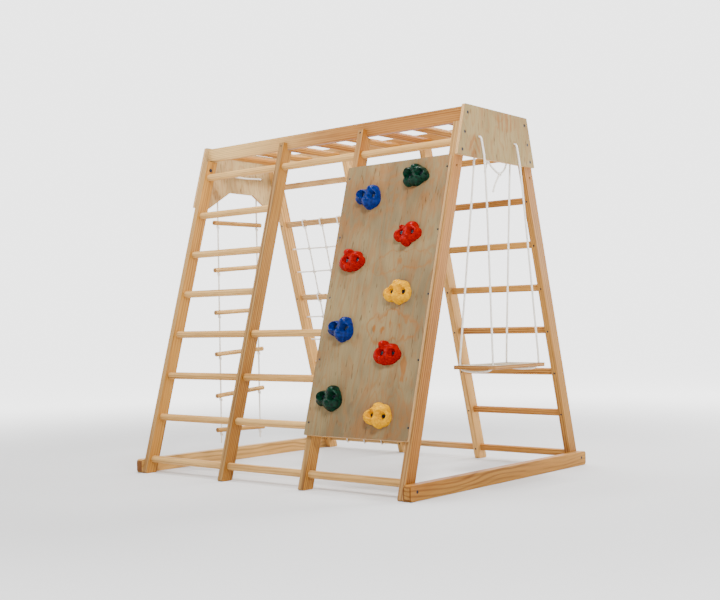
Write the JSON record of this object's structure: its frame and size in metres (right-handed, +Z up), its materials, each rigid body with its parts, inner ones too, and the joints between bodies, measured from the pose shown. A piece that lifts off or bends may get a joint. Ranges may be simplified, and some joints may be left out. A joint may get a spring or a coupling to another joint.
{
  "type": "jungle gym",
  "caption": "Indoor wooden jungle gym for small children: A-frame with climbing panel, rope net, monkey bars, swing and rope ladder",
  "frame": {"origin": "on the floor, at the middle of the whole part's footprint, the swing seat and the rope ladder's rungs included", "axes": "X along the length, from the rope ladder's end (-X) to the swing's end (+X); Y from the climbing panel's side (-Y) to the rope net's side (+Y); Z up"},
  "size_m": [1.6104, 1.286, 1.488],
  "materials": {
    "pine": "satin clear varnish on knotty pine",
    "plywood": "satin clear varnish on birch plywood",
    "rope": "off-white braided cord",
    "hold_green": "fine-grained cast resin, dark green",
    "hold_blue": "fine-grained cast resin, blue",
    "hold_red": "fine-grained cast resin, red",
    "hold_yellow": "fine-grained cast resin, yellow",
    "steel": "zinc-plated screws and bolts"
  },
  "bodies": {
    "frame": {"back_bar_row_1": "pine", "back_bar_row_2": "pine", "back_bar_row_3": "pine", "back_bar_row_4": "pine", "back_bar_row_5": "pine", "back_bar_row_6": "pine", "back_bar_row_7": "pine", "back_bar_row_8": "pine", "back_beam": "pine", "back_post_left": "pine", "back_post_mid_left": "pine", "back_post_mid_right": "pine", "back_post_right": "pine", "base_bar_bolts": "steel", "base_bar_left": "pine", "base_bar_right": "pine", "climbing_panel": "plywood", "climbing_panel_screws": "steel", "end_panel_bolts": "steel", "end_panel_left": "plywood", "end_panel_right": "plywood", "frame_screws": "steel", "front_beam": "pine", "front_dowel_row_1": "pine", "front_dowel_row_2": "pine", "front_dowel_row_3": "pine", "front_dowel_row_4": "pine", "front_dowel_row_5": "pine", "front_dowel_row_6": "pine", "front_dowel_row_7": "pine", "front_dowel_row_8": "pine", "front_post_left": "pine", "front_post_mid_left": "pine", "front_post_mid_right": "pine", "front_post_right": "pine", "hold_blue_lower": "hold_blue", "hold_blue_upper": "hold_blue", "hold_bolts": "steel", "hold_green_lower": "hold_green", "hold_green_upper": "hold_green", "hold_red_lower": "hold_red", "hold_red_middle": "hold_red", "hold_red_upper": "hold_red", "hold_yellow_lower": "hold_yellow", "hold_yellow_upper": "hold_yellow", "ladder_top_rope": "rope", "monkey_bar_1": "pine", "monkey_bar_2": "pine", "monkey_bar_3": "pine", "monkey_bar_4": "pine", "monkey_bar_5": "pine", "monkey_bar_6": "pine", "monkey_bar_7": "pine", "monkey_bar_8": "pine", "rope_net": "rope", "swing_top_ropes": "rope"},
    "swing": {"swing_seat": "plywood", "swing_ropes": "rope"},
    "rope_ladder": {"ladder_rungs": "pine", "ladder_ropes": "rope"}
  },
  "joints": [
    {"name": "swing_hinge", "type": "hinge", "parent": "frame", "child": "swing", "pos_m": [0.70825, 0, 1.31], "axis": [0, 1, 0], "range_deg": [-30, 30]},
    {"name": "ladder_hinge", "type": "hinge", "parent": "frame", "child": "rope_ladder", "pos_m": [-0.79425, 0, 1.341], "axis": [0, 1, 0], "range_deg": [-8, 35]}
  ]
}
